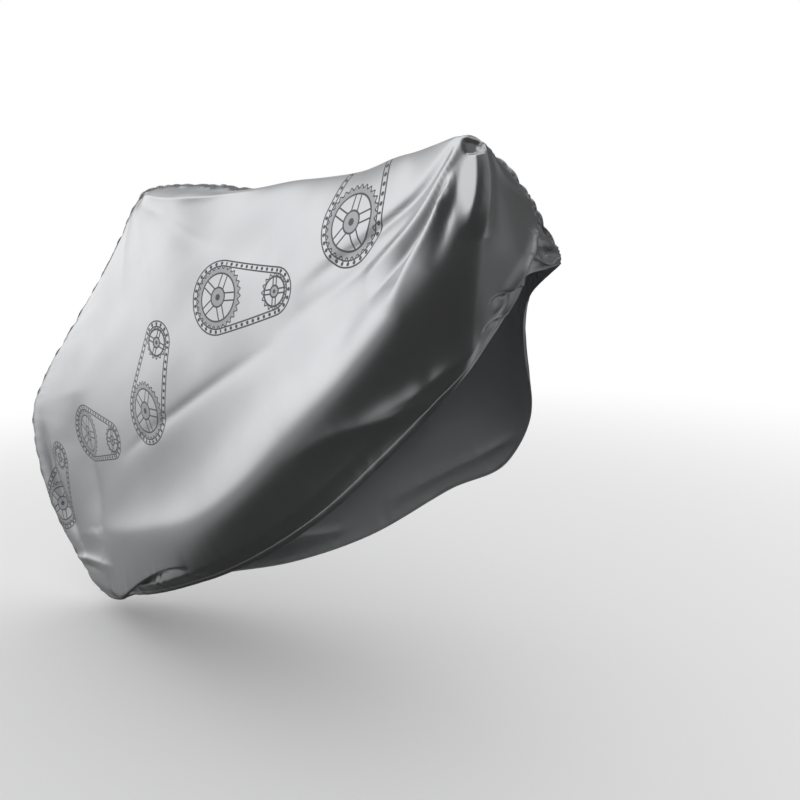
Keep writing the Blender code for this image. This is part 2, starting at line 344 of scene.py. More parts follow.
# where a panel's rows crowd together: place, half width and extra density
ALONG_CROWDS = ((0.87, 0.06, 1.4), (0.31, 0.07, 1.3), (0.0, 0.15, -0.2))
DOWN_CROWDS = ((0.15, 0.05, 1.0), (0.0, 0.02, 1.2), (0.90, 0.05, 1.5), (1.0, 0.02, 1.2))
SEAM_HOLD = 0.030         # distance from the seam over which the folds die out
PLEAT_HOLD = 0.006        # the same for the pleats
HEM_HOLD = 0.050          # distance from the hem over which the elastic draws the folds in
HEM_KEEPS = 0.25          # share of a fold that is left at the hem
SEAM_PUCKER = (0.027, 0.0016, 0.009)       # spacing, depth, reach
HEM_GATHER = (0.058, 0.0013, 0.026)
HEM_CHANNEL = 0.007       # width of the rounded edge over the elastic
HEM_LIP = -0.002          # how far it turns in


def film_grid(sections, folds, pleats, laps, presses, side):
    """Grid of places of one panel's outer face: the loft, with its folds, ripples, seam puckers and hem
    gathers raised along its normals.  Pleats are folds that keep their height up to the edge.  Rows
    crowd together at the side peak, the seam and the hem."""
    grid = film_loft(sections, crowded(ROWS_ALONG, ALONG_CROWDS), crowded(ROWS_DOWN, DOWN_CROWDS))
    normal = outward(grid)
    back, top = run_lengths(grid, 0), run_lengths(grid, 1)
    front, foot = back[-1] - back, top[:, -1:] - top
    seam = np.minimum(np.minimum(back, front), top)
    free = ease(seam / SEAM_HOLD)
    drawn_in = HEM_KEEPS + (1.0 - HEM_KEEPS) * ease(foot / HEM_HOLD)
    height = (fold_height(grid, normal, folds) + ripple_height(grid)) * free * drawn_in
    height += fold_height(grid, normal, pleats) * ease(seam / PLEAT_HOLD)
    for run, away in ((back[:, :1], top), (top[:1], back), (top[-1:], front)):
        height += gathers(run, away, *SEAM_PUCKER)
    height += gathers(back[:, -1:], foot, *HEM_GATHER) * free
    height += HEM_LIP * np.clip(1.0 - foot / HEM_CHANNEL, 0.0, 1.0) * free
    grid = press_flat(lapped(grid + normal * height[..., None], laps), presses)
    grid[..., 1] = side * (grid[..., 1] + EDGE_OFFSET)
    return grid


# ---------------------------------------------------------------- silver film
# Thin film with a smooth satin silver coat outside and a duller back.  Before the panels are cut it is
# printed with a slanting row of grey line drawings, each a toothed chainring and a small sprocket
# joined by a roller chain.  The hem is turned in over its elastic and sewn with one row of stitches.
COARSE_ALONG, COARSE_DOWN = 40, 26
UNROLL_ROUNDS = 30
SILVER = (0.62, 0.63, 0.645, 1.0)
SILVER_WORN = (0.56, 0.57, 0.585, 1.0)
SILVER_BACK = (0.50, 0.51, 0.52, 1.0)
INK = (0.085, 0.087, 0.092, 1.0)
THREAD = (0.30, 0.30, 0.31, 1.0)
BAND_START = (-0.368, 0.357)     # middle of the first drawing, in the flat sheet
BAND_TURN = np.radians(29.6)     # slope of the row of drawings
BAND_STEP = 0.349
DRAWING_TURNS = np.radians((40.0, -28.0))    # how the drawings are turned, in turn
CHAIN_PITCH = 0.0157
RING_TEETH, SPROCKET_TEETH = 28, 16
RING_ARMS, SPROCKET_ARMS = 5, 4
RING_INNER, RING_HUB, RING_BORE = 0.70, 0.28, 0.09    # shares of a chainring's or sprocket's radius
ARM_HALF = 0.11                  # the same
DRIVE_SPAN = 0.162               # between the two middles
CHAIN_HALF = 0.0058              # half of the chain's width
ROLLER = 0.0032
TOOTH = 0.0030
LINE = 0.0014                    # half width of a drawn line
FINE_LINE = 0.8 * LINE
LINE_FADE = 0.0008
FILL = 0.42                      # strength of the toned areas beside the lines
STITCH = (0.0060, 0.0040, 0.0007)    # spacing, length, half width
STITCH_ROW = 0.0125              # from the edge of the hem
STITCH_DENT = 0.0035             # how far the stitches draw the film in to each side
CLOUDS, BACK_CLOUDS, CRINKLE = (7.0, 3.0), (6.0, 3.0), (60.0, 5.0)     # noise: features a metre, detail
STREAKS, STREAK_LONG, STREAK_TURN = (26.0, 4.0), (9.0, 1.0, 1.0), np.radians(33.0)
STREAK_RELIEF, CRINKLE_RELIEF = (0.0006, 0.30), (0.0002, 0.35)    # depth, strength
STITCH_RELIEF = (0.0004, 0.6)
METAL, INK_METAL, BACK_METAL = 0.97, 0.25, 0.80
ROUGH, BACK_ROUGH = (0.235, 0.30), (0.36, 0.46)    # least and most
INK_ROUGH, CLOUD_ROUGH = 0.18, 0.07                # added by ink and clouds
CLOUD_WEAR = (-0.4, 1.0)       # share of wear where the clouds are lowest and highest


def placed(name, places, faces):
    """An object of smooth faces on places, in the scene."""
    mesh = bpy.data.meshes.new(name)
    mesh.from_pydata(places.reshape(-1, 3), [], faces)
    mesh.shade_smooth()
    item = bpy.data.objects.new(name, mesh)
    bpy.context.scene.collection.objects.link(item)
    return item


def sheet_faces(grid):
    """The quads of a grid of places, facing away from the middle plane."""
    rows, columns = grid.shape[:2]
    index = np.arange(rows * columns).reshape(rows, columns)
    quads = np.stack([index[:-1, :-1], index[1:, :-1], index[1:, 1:], index[:-1, 1:]], axis=-1)
    if grid[rows // 2, columns // 2, 1] < 0.0:
        quads = quads[..., ::-1]
    return quads.reshape(-1, 4)


def corner_points(mesh):
    """Which point each corner of the mesh's faces stands on."""
    points = np.empty(len(mesh.loops), dtype=int)
    mesh.loops.foreach_get("vertex_index", points)
    return points


def grid_area(grid):
    """Area of a grid of places: half the cross product of each quad's diagonals."""
    one, other = grid[1:, 1:] - grid[:-1, :-1], grid[1:, :-1] - grid[:-1, 1:]
    return np.linalg.norm(np.cross(one, other), axis=-1).sum() / 2.0


def laid_flat(sections):
    """Where each place of a panel lay in the flat sheet, in metres: a coarse loft is unrolled with the
    least stretch, scaled to its own area, turned to lie as in side view, and spread over the fine rows
    by cubics."""
    few_along, few_down = crowded(COARSE_ALONG, ALONG_CROWDS), crowded(COARSE_DOWN, DOWN_CROWDS)
    loft = film_loft(sections, few_along, few_down)
    pattern = placed("pattern", loft - MOUNT, sheet_faces(loft))
    pattern.data.uv_layers.new(name="flat")
    for item in bpy.context.selected_objects:
        item.select_set(False)
    bpy.context.view_layer.objects.active = pattern
    pattern.select_set(True)
    bpy.ops.object.mode_set(mode="EDIT")
    bpy.ops.mesh.select_all(action="SELECT")
    bpy.ops.uv.unwrap(method="MINIMUM_STRETCH", iterations=UNROLL_ROUNDS, margin=0.0)
    bpy.ops.object.mode_set(mode="OBJECT")
    corners = np.empty(2 * len(pattern.data.loops))
    pattern.data.uv_layers["flat"].data.foreach_get("uv", corners)
    flat = np.zeros((len(pattern.data.vertices), 2))
    flat[corner_points(pattern.data)] = corners.reshape(-1, 2)
    bpy.data.meshes.remove(pattern.data)
    side_view = loft[..., [0, 2]].reshape(-1, 2)
    flat -= flat.mean(axis=0)
    left_turns, _, right_turns = np.linalg.svd(flat.T @ (side_view - side_view.mean(axis=0)))
    flat = flat @ left_turns @ right_turns
    deep = np.insert(flat, 2, 0.0, axis=1).reshape(loft.shape)
    flat *= np.sqrt(grid_area(loft) / grid_area(deep))
    flat = (flat + side_view.mean(axis=0)).reshape(COARSE_ALONG + 1, -1)
    flat = smooth_curve(few_along, flat, crowded(ROWS_ALONG, ALONG_CROWDS))
    flat = flat.reshape(ROWS_ALONG + 1, COARSE_DOWN + 1, 2).swapaxes(0, 1).reshape(COARSE_DOWN + 1, -1)
    flat = smooth_curve(few_down, flat, crowded(ROWS_DOWN, DOWN_CROWDS))
    return flat.reshape(ROWS_DOWN + 1, ROWS_ALONG + 1, 2).swapaxes(0, 1)


def pin_map(mesh, name, places):
    """A UV map of the mesh that gives each of its points one place."""
    layer = mesh.uv_layers.new(name=name)
    layer.data.foreach_set("uv", places.reshape(-1, 2)[corner_points(mesh)].ravel())


class Value:
    """A node's output that can be reckoned with as a number; each step adds one Math node."""

    def __init__(self, socket):
        self.socket = socket

    def __add__(self, other):
        return reckoned("ADD", self, other)

    def __sub__(self, other):
        return reckoned("SUBTRACT", self, other)

    def __rsub__(self, other):
        return reckoned("SUBTRACT", other, self)

    def __mul__(self, other):
        return reckoned("MULTIPLY", self, other)

    def __truediv__(self, other):
        return reckoned("DIVIDE", self, other)

    def __abs__(self):
        return reckoned("ABSOLUTE", self)


def feed(socket, value):
    """Gives a socket of the tree in hand a number, a colour or another node's output."""
    if isinstance(value, Value):
        tree.links.new(value.socket, socket)
    else:
        socket.default_value = value


def reckoned(operation, *values):
    """One Math node of the tree in hand."""
    node = tree.nodes.new("ShaderNodeMath")
    node.operation = operation
    for socket, value in zip(node.inputs, values):
        feed(socket, value)
    return Value(node.outputs["Value"])


def new_finish(name):
    """A material, its node tree and its shader."""
    finish = bpy.data.materials.new(name)
    finish.use_nodes = True
    return finish, finish.node_tree, finish.node_tree.nodes["Principled BSDF"]


def fade(value, start, full):
    """0 at start, 1 at full, and an even S between."""
    node = tree.nodes.new("ShaderNodeMapRange")
    node.interpolation_type = "SMOOTHSTEP"
    feed(node.inputs["Value"], value)
    feed(node.inputs["From Min"], start)
    feed(node.inputs["From Max"], full)
    return Value(node.outputs["Result"])


def stretch(value, low, high):
    """A 0 to 1 value taken to low to high."""
    return value * (high - low) + low


def blended(share, first, second):
    """One colour fading into another, each a colour or another node's output."""
    node = tree.nodes.new("ShaderNodeMix")
    node.data_type = "RGBA"
    feed(node.inputs["Factor"], share)
    feed(node.inputs[6], first)
    feed(node.inputs[7], second)
    return Value(node.outputs[2])


def on_map(name):
    """The two coordinates of one of the piece's own UV maps, and the map itself."""
    node = tree.nodes.new("ShaderNodeUVMap")
    node.uv_map = name
    split = tree.nodes.new("ShaderNodeSeparateXYZ")
    feed(split.inputs["Vector"], Value(node.outputs["UV"]))
    return Value(split.outputs["X"]), Value(split.outputs["Y"]), Value(node.outputs["UV"])


def on_object():
    """The place in the piece's own axes."""
    return Value(tree.nodes.new("ShaderNodeTexCoord").outputs["Object"])


def cloudy(vector, scale, detail, stretched=(1.0, 1.0, 1.0), turned=0.0):
    """Soft noise, 0 to 1, on a vector that is turned and then stretched."""
    place = tree.nodes.new("ShaderNodeMapping")
    place.vector_type = "TEXTURE"
    feed(place.inputs["Vector"], vector)
    feed(place.inputs["Rotation"], (0.0, 0.0, turned))
    feed(place.inputs["Scale"], stretched)
    noise = tree.nodes.new("ShaderNodeTexNoise")
    feed(noise.inputs["Vector"], Value(place.outputs["Vector"]))
    feed(noise.inputs["Scale"], scale)
    feed(noise.inputs["Detail"], detail)
    return Value(noise.outputs["Fac"])


def bumped(height, distance, strength, below=None):
    """A Bump node, on top of another one where below is given."""
    node = tree.nodes.new("ShaderNodeBump")
    feed(node.inputs["Distance"], distance)
    feed(node.inputs["Strength"], strength)
    feed(node.inputs["Height"], height)
    if below is not None:
        feed(node.inputs["Normal"], below)
    return Value(node.outputs["Normal"])


def apart(x, y):
    """Length of the side opposite the right angle."""
    return reckoned("SQRT", x * x + y * y)


def stroke(gap, half=LINE):
    """1 where gap is less than half a line's width either way, fading to 0."""
    return fade(abs(gap), half + LINE_FADE, half)


def within(value, low, high):
    """1 between low and high, fading to 0 outside."""
    return fade(value, low - LINE_FADE, low) * fade(value, high + LINE_FADE, high)


def most(first, *others):
    """The highest of several values."""
    for value in others:
        first = reckoned("MAXIMUM", first, value)
    return first


def from_nearest(value, spacing):
    """How far value lies from the nearest whole number of spacings."""
    return reckoned("WRAP", value, spacing / 2.0, -spacing / 2.0)


def stitches(run, off, spacing, length, half):
    """A row of stitches along run, where off is the distance from the row: dashes with soft long sides."""
    dash = within(abs(from_nearest(run, spacing)), -1.0, length / 2.0)
    return dash * fade(abs(off), 1.6 * half, half)


def toothed_ink(x, y, radius, teeth, arms):
    """Drawing of a chainring or a sprocket: a rim whose teeth are a cosine round it, a toned ring, arms
    with a line down each side, and a hub.  Also gives the distance from its middle and the angle."""
    away, angle = apart(x, y), reckoned("ARCTAN2", y, x)
    rim = radius - CHAIN_HALF - TOOTH
    inner, hub, bore = (share * radius for share in (RING_INNER, RING_HUB, RING_BORE))
    teeth_wave = reckoned("COSINE", angle * float(teeth)) * TOOTH
    from_arm = away * reckoned("SINE", from_nearest(angle, 2.0 * np.pi / arms))
    sides = stroke(abs(from_arm) - ARM_HALF * radius, FINE_LINE) * within(away, hub, inner)
    lines = most(stroke(away - (teeth_wave + (rim + 0.3 * TOOTH))), stroke(away - inner),
                 stroke(away - hub), stroke(away, bore), sides)
    tone = most(within(away, inner, rim), within(away, 0.0, hub))
    return most(lines, tone * FILL), away, angle


def chain_ink(x, y, ring, sprocket):
    """Drawing of a chain round both: two lines a chain's width apart and its rollers between them.
    Round each the run is the angle times the radius, and between them it is straight."""
    (ring_away, ring_angle), (sprocket_away, sprocket_angle) = ring, sprocket
    slant = (ring_radius - sprocket_radius) / DRIVE_SPAN
    level = float(np.sqrt(1.0 - slant ** 2))
    side = abs(y)
    run = x * level - side * slant
    at_ring = reckoned("LESS_THAN", run, 0.0)
    at_sprocket = reckoned("GREATER_THAN", run, level * DRIVE_SPAN)
    straight = 1.0 - at_ring - at_sprocket
    off = (straight * (x * slant + side * level - ring_radius) + at_ring * (ring_away - ring_radius)
           + at_sprocket * (sprocket_away - sprocket_radius))
    run = (straight * run + at_ring * ring_angle * ring_radius
           + at_sprocket * sprocket_angle * sprocket_radius)
    plates = stroke(abs(off) - CHAIN_HALF, FINE_LINE)
    return most(plates, stroke(apart(from_nearest(run, CHAIN_PITCH), off), ROLLER))


film, tree, shader = new_finish("silver_film")
ring_radius, sprocket_radius = (CHAIN_PITCH * teeth / (2.0 * np.pi)
                                for teeth in (RING_TEETH, SPROCKET_TEETH))

cut_x, cut_z, cut = on_map("cut")
cut_x, cut_z = cut_x - BAND_START[0], cut_z - BAND_START[1]
band_cos, band_sin = float(np.cos(BAND_TURN)), float(np.sin(BAND_TURN))
along_band = cut_x * band_cos + cut_z * band_sin
across_band = cut_z * band_cos - cut_x * band_sin
cell = reckoned("FLOOR", along_band / BAND_STEP + 0.5)
in_cell = along_band - cell * BAND_STEP
turned = stretch(reckoned("PINGPONG", cell, 1.0), *(float(turn) for turn in DRAWING_TURNS))
turn_cos, turn_sin = reckoned("COSINE", turned), reckoned("SINE", turned)
draw_x = in_cell * turn_cos + across_band * turn_sin + DRIVE_SPAN / 2.0
draw_y = across_band * turn_cos - in_cell * turn_sin
ring_ink, *ring = toothed_ink(draw_x, draw_y, ring_radius, RING_TEETH, RING_ARMS)
sprocket_ink, *sprocket = toothed_ink(draw_x - DRIVE_SPAN, draw_y, sprocket_radius, SPROCKET_TEETH,
                                      SPROCKET_ARMS)
ink = most(ring_ink, sprocket_ink, chain_ink(draw_x, draw_y, ring, sprocket))

hem_run, from_hem, _ = on_map("hem")
thread = stitches(hem_run, from_hem - STITCH_ROW, *STITCH)
channel = fade(abs(from_hem - STITCH_ROW), STITCH_DENT, 0.0)

place = on_object()
clouds = cloudy(place, *CLOUDS)
streaks = cloudy(cut, *STREAKS, STREAK_LONG, STREAK_TURN)
covered = most(ink, thread)
coat = blended(stretch(clouds, *CLOUD_WEAR), SILVER, SILVER_WORN)
feed(shader.inputs["Base Color"], blended(thread, blended(ink, coat, INK), THREAD))
feed(shader.inputs["Metallic"], stretch(covered, METAL, INK_METAL))
feed(shader.inputs["Roughness"], covered * INK_ROUGH + clouds * CLOUD_ROUGH + stretch(streaks, *ROUGH))
relief = bumped(streaks, *STREAK_RELIEF)
relief = bumped(cloudy(place, *CRINKLE), *CRINKLE_RELIEF, relief)
feed(shader.inputs["Normal"], bumped(thread - channel, *STITCH_RELIEF, relief))

film_back, tree, shader = new_finish("film_back")
place = on_object()
clouds = cloudy(place, *BACK_CLOUDS)
feed(shader.inputs["Base Color"], blended(clouds, SILVER_BACK, SILVER_WORN))
feed(shader.inputs["Metallic"], BACK_METAL)
feed(shader.inputs["Roughness"], stretch(clouds, *BACK_ROUGH))
feed(shader.inputs["Normal"], bumped(cloudy(place, *CRINKLE), *CRINKLE_RELIEF))


def sheet_object(name, grid, thickness, cut_places):
    """The grid as a sheet given its thickness inwards, with two maps: its places in the flat sheet, and
    the distances along the hem and from it."""
    item = placed(name, grid - MOUNT, sheet_faces(grid))
    hem_run = np.broadcast_to(run_lengths(grid, 0)[:, -1:], grid.shape[:2])
    down = run_lengths(grid, 1)
    pin_map(item.data, "cut", cut_places)
    pin_map(item.data, "hem", np.stack([hem_run, down[:, -1:] - down], axis=-1))
    wall = item.modifiers.new("film", "SOLIDIFY")
    wall.thickness = thickness
    wall.offset = -1.0
    wall.use_even_offset = False
    wall.material_offset = 1
    return item


# ---------------------------------------------------------------- right panel
# The side in full view: one sheet of the silver film, sewn to the left panel along its back, top and
# front edges.  Its lower edge is the hem, which gathers in deep folds at the rear foot and the nose.
RIGHT_SECTIONS = (
    Section(150, (165, 35, 1121), (20, 95, 600), (-68, 48, 70)),
    Section(260, (290, 75, 1099), (240, 150, 640), (150, 80, 155)),
    Section(420, (440, 70, 1096), (430, 175, 690), (440, 125, 295)),
    Section(580, (640, 90, 1101), (650, 200, 740), (700, 175, 460)),
    Section(740, (830, 165, 1088), (840, 240, 830), (880, 215, 613)),
    Section(860, (955, 240, 1090), (970, 285, 905), (985, 235, 712)),
    Section(950, (1085, 330, 1076), (1075, 300, 940), (1050, 215, 792)),
    Section(995, (1102, 280, 1058), (1100, 230, 950), (1084, 158, 868)),
    Section(1020, (1092, 120, 1028), (1102, 120, 962), (1090, 105, 912)),
)
RIGHT_FOLDS = (
    # the broad ridge from the side peak to the rear foot, under the bright band
    Fold(((1080, 1062), (1052, 975), (975, 880), (860, 770), (725, 660), (515, 475), (340, 335),
          (230, 265), (60, 180), (-50, 115), (-150, 60)), (12, 90), 0.5, 2.0, (8, 60, 14)),
    # the rear end of the bright band, and two hollows beside the back seam
    Fold(((700, 640), (600, 560), (430, 455), (250, 385), (80, 325), (-60, 285)),
         (60, 50), 0.3, 0.5, (0, 18, 6)),
    Fold(((-180, 640), (-150, 500), (-120, 370), (-100, 250)), (60, 60), 0.62, 0.6, (0, -20, -6)),
    Fold(((-395, 540), (-392, 430), (-355, 310), (-270, 200)), (20, 30), 0.35, 0.5, (-3, -19, -6)),
    # the tuck that cuts into the print, its upper flank steep
    Fold(((1072, 1079), (989, 1027), (884, 980), (764, 930), (690, 890)),
         (7, 24), 0.2, 0.3, (-2, -8.5, 0)),
    # the valley between the print and the band, and the narrower one that carries it on to the rear
    Fold(((1060, 1060), (988, 998), (827, 914), (719, 862), (630, 812)),
         (5, 22), 0.45, 0.6, (-2, -6.5, 0)),
    Fold(((640, 802), (520, 742), (432, 697), (340, 648), (236, 594), (95, 515)),
         (12, 11), 0.45, 0.4, (-1, -4.2, -1)),
    # drawn rays that spread out of the peak between the valley and the band
    Fold(((1072, 1066), (1040, 1036), (1005, 1003), (955, 965), (870, 912)),
         (4, 19), 0.5, 0.4, (4, 12, 0)),
    Fold(((1075, 1064), (1050, 1030), (1022, 994), (980, 950), (900, 880)),
         (3, 15), 0.5, 0.4, (-3, -12, 0)),
    Fold(((1078, 1062), (1060, 1024), (1038, 985), (1005, 940), (950, 870)),
         (3, 14), 0.5, 0.4, (4, 12, 0)),
    Fold(((1080, 1060), (1068, 1020), (1053, 975), (1030, 925)), (3, 11), 0.5, 0.4, (-3, -9, 0)),
    # a soft trough from the rear tip, and the creases that hang from it
    Fold(((110, 1110), (250, 1070), (400, 1010), (640, 955)), (12, 32), 0.45, 0.6, (-2, -11, 0)),
    Fold(((106, 1105), (101, 1050), (95, 980), (92, 900)), (4, 14), 0.5, 0.5, (2, 4, 0)),
    Fold(((106, 1110), (145, 1059), (212, 948), (251, 818), (240, 560)), (8, 45), 0.5, 0.7, (1, 4, 0)),
    # the near edge of the rear hump
    Fold(((120, 10, 1128), (179, 42, 1115), (236, 64, 1104), (313, 79, 1094), (370, 78, 1092),
          (452, 76, 1093), (560, 90, 1096)), (6, 10), 0.5, 0.3, (2, 5, 0)),
    # the corner under the end of the peak, held out
    Fold(((1094, 325, 1080), (1097, 318, 1050), (1096, 314, 1010), (1090, 306, 960)),
         (11, 18), 0.5, 0.6, (3, 13, 2)),
    # the stiff line from the end of the peak down to the nose
    Fold(((1093, 307, 1075), (1098, 296, 1065), (1103, 266, 1045), (1104, 236, 1034), (1100, 172, 1027),
          (1096, 119, 1017), (1096, 82, 1000)), (4, 6), 0.5, 0.2, (2, 4, 3)),
    # soft ridges beside the front of the hem
    Fold(((1093, 865), (1064, 826), (1014, 781), (943, 731), (860, 690)), (8, 12), 0.5, 0.6, (3, 6, 0)),
    Fold(((1080, 845), (1045, 795), (986, 732), (912, 700), (805, 662), (700, 600)),
         (8, 18), 0.5, 0.6, (2, 9, 0)),
    # the pinch at the rear edge
    Fold(((-323, 128), (-220, 158), (-120, 180), (-10, 202)), (10, 20), 0.7, 0.3, (3, 10, 0)),
    Fold(((-310, 108), (-220, 128), (-100, 150)), (12, 14), 0.5, 0.5, (-4, -6, 0)),
)
RIGHT_PLEATS = (
    # the two swells of the nose, and the gathers that draw together in it
    Fold(((1096, 120, 972), (1102, 70, 960), (1110, 20, 940)), (10, 8), 0.3, 0.2, (6, 22, 10)),
    Fold(((1098, 125, 940), (1104, 80, 930), (1108, 20, 926)), (10, 8), 0.3, 0.2, (6, 22, 10)),
    Fold(((1098, 60, 972), (1106, 30, 954), (1111, 6, 938)), (6, 4), 0.5, 0.2, (3, 10, 4)),
    Fold(((1104, 90, 962), (1108, 55, 950), (1110, 20, 939)), (6, 4), 0.5, 0.2, (-4, -11, -5)),
    Fold(((1106, 95, 949), (1109, 60, 941), (1110, 16, 934)), (8, 4), 0.5, 0.2, (2, 10, 5)),
    Fold(((1107, 110, 938), (1108, 70, 932), (1108, 35, 928)), (5, 4), 0.5, 0.2, (-2, -5, -2)),
    Fold(((1107, 125, 946), (1106, 95, 933), (1104, 60, 922)), (5, 5), 0.5, 0.2, (2, 8, 4)),
    # the gathered strip behind it, which runs down beside the hem, and two small laps across it
    Fold(((1103, 120, 978), (1107, 150, 942), (1103, 172, 922), (1096, 185, 905), (1087, 198, 888),
          (1078, 208, 868)), (7, 10), 0.5, 0.3, (4, 13, 5)),
    Fold(((1100, 135, 925), (1094, 155, 902), (1084, 172, 880), (1070, 188, 848)),
         (6, 10), 0.5, 0.3, (1, 8, 3)),
    Fold(((1092, 165, 897), (1085, 200, 888), (1075, 238, 877)), (5, 4), 0.25, 0.1, (-4, -9, 0)),
    Fold(((1076, 180, 852), (1070, 205, 846), (1060, 232, 838)), (5, 4), 0.25, 0.1, (-4, -8, 0)),
)
RIGHT_LAPS = (
    # the slit at the rear foot, its upper lip hanging over a deep pocket
    Lap(((-85, 78), (-30, 118), (40, 166), (110, 212), (181, 252), (250, 284), (310, 303), (345, 308)),
        26, 9, 24, 18, 30),
)
RIGHT_PRESSES = (
    # the flat under the end of the side peak, and that end itself
    Pressed((1089, 335.5, 1028), (-0.3, 0.953, 0.03), 46, 68, 60, 0.55),
    Pressed((1089, 328, 1070), (0.45, 0.89, 0.1), 13, 13, 20, 0.2),
)
FILM = 0.001


def panel(name, sections, folds, pleats, laps, presses, side):
    """One side of the cover, in silver film."""
    grid = film_grid(sections, folds, pleats, laps, presses, side)
    item = sheet_object(name, grid, FILM, laid_flat(sections))
    item.data.materials.append(film)
    item.data.materials.append(film_back)
    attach(item, "root")
    float(grid_area(grid))
    return item


right = panel("right_film", RIGHT_SECTIONS, RIGHT_FOLDS, RIGHT_PLEATS, RIGHT_LAPS, RIGHT_PRESSES, -1)
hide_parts("right_panel")

# ---------------------------------------------------------------- left panel
# The far side, cut from the same film as the right panel's mirror image and sewn to it along the seam.
# Its inside shows below the front of the right panel, and its folds are its own.
LEFT_SECTIONS = (
    Section(150, (165, 35, 1121), (20, 95, 600), (-60, 45, 50)),
    Section(260, (270, 75, 1098), (220, 160, 600), (130, 95, 115)),
    Section(400, (410, 80, 1086), (380, 190, 600), (360, 150, 175)),
    Section(540, (550, 120, 1072), (540, 220, 640), (580, 205, 270)),
    Section(680, (700, 200, 1046), (680, 260, 690), (790, 240, 410)),
    Section(820, (820, 290, 1022), (810, 310, 750), (940, 240, 500)),
    Section(930, (870, 335, 1006), (900, 320, 800), (998, 215, 610)),
    Section(985, (930, 280, 1014), (965, 250, 880), (995, 175, 760)),
    Section(1015, (1010, 150, 1030), (1030, 145, 950), (1025, 100, 862)),
)
LEFT_FOLDS = (
    # the broad ridge from the side peak to the rear foot, with a tuck and a valley above it
    Fold(((870, 975), (850, 880), (760, 740), (600, 560), (400, 400), (180, 240), (-20, 120),
          (-150, 60)), (12, 80), 0.5, 2.0, (8, 50, 30)),
    Fold(((850, 995), (760, 940), (660, 890), (560, 850)), (3, 22), 0.25, 0.3, (-2, -8, 0)),
    Fold(((855, 985), (740, 890), (600, 800), (420, 680), (200, 560), (50, 480)),
         (5, 22), 0.4, 0.5, (-2, -10, -2)),
    Fold(((860, 985), (810, 930), (740, 850), (660, 770)), (3, 14), 0.5, 0.6, (2, 5, 0)),
    # folds that fall from the peak to the front of the hem
    Fold(((885, 985), (920, 860), (950, 720), (960, 600)), (10, 35), 0.5, 0.8, (3, 12, 0)),
    Fold(((895, 985), (980, 900), (1020, 860)), (8, 14), 0.5, 0.5, (2, 6, 0)),
    # the trough and the crease from the rear tip
    Fold(((110, 1110), (230, 1060), (360, 1000), (540, 950)), (12, 35), 0.5, 0.8, (-1, -6, 0)),
    Fold(((106, 1110), (140, 1050), (190, 930), (210, 780), (190, 560)), (8, 45), 0.5, 0.7, (1, 4, 0)),
    # soft ridges beside the hem
    Fold(((960, 560), (860, 500), (740, 430), (600, 350)), (10, 18), 0.5, 0.6, (2, 7, 0)),
    Fold(((500, 270), (340, 230), (160, 190)), (10, 18), 0.5, 0.6, (1, 6, 0)),
)
LEFT_PRESSES = (
    Pressed((876, 334, 966), (0.1, 0.98, 0.02), 18, 38, 40, 0.35),
    Pressed((873, 333, 1000), (0.3, 0.95, 0.1), 13, 13, 20, 0.2),
)
left = panel("left_film", LEFT_SECTIONS, LEFT_FOLDS, (), (), LEFT_PRESSES, 1)
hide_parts("left_panel")

# ---------------------------------------------------------------- bound seam
# The two panels' edges stand together along the middle plane from the rear hem to the nose, bound in one
# doubled strip of the same film and drawn in by its stitches, so its free edge puckers.
STRIP_STEPS = 1100
STRIP_PROFILE = np.array([  # half width, share of the height, up one side of the strip
    (0.80, -0.30), (0.85, 0.10), (0.62, 0.28), (0.88, 0.48), (1.00, 0.80), (0.55, 1.00)])
STRIP_HALF = 0.0013
STRIP_HEIGHTS = ((0.0, 0.42, 0.50, 0.80, 0.84, 0.90, 0.97, 1.0),    # at these shares of its length
                 (0.0036, 0.0036, 0.0056, 0.0060, 0.0075, 0.0095, 0.0085, 0.0050))
PUCKER_DEPTH = 0.42                 # share of the height that the puckers add or take
PUCKERS = (0.034, 0.085, 0.23)      # spacings of its three rows of puckers
PUCKER_SHARES = (0.45, 0.35, 0.20)
STRIP_SWAY = 0.0022
STRIP_END, END_HEIGHT = 0.020, 0.4  # length over which it tapers at each end, and the share left there
STRIP_GREY = (0.44, 0.445, 0.455, 1.0)
# near-black grey painted into the strip's wrinkle hollows as shade
STRIP_CREASE_SHADE = (0.24, 0.243, 0.25, 1.0)
STRIP_STITCH = (0.0045, 0.0030, 0.0004)    # spacing, length, half width
STRIP_STITCH_ROW = 0.0022           # up from the panels
STRIP_RIB = 0.0011                  # spacing of the tape's fine ribs
WRINKLES, WRINKLE_LONG = (190.0, 3.0), (1.0, 3.5, 1.0)
WRINKLE_RELIEF, RIB_RELIEF, STRIP_STITCH_RELIEF = (0.0016, 0.8), (0.0001, 0.25), (0.0005, 0.9)
STRIP_METAL, THREAD_METAL, THREAD_ROUGH = 0.85, 0.10, 0.3
STRIP_ROUGH = (0.30, 0.46)          # least and most
WRINKLE_SHADE_HEIGHTS = (0.35, 0.62)        # wrinkle heights between which the strip turns from painted shade in its hollows to its own grey


def smooth_row(values):
    """A row averaged over its neighbours with a bell of weights."""
    bell = np.exp(-np.linspace(-2.0, 2.0, 13) ** 2)
    padded = np.pad(values, 6, mode="edge")
    return np.convolve(padded, bell / bell.sum(), mode="valid")


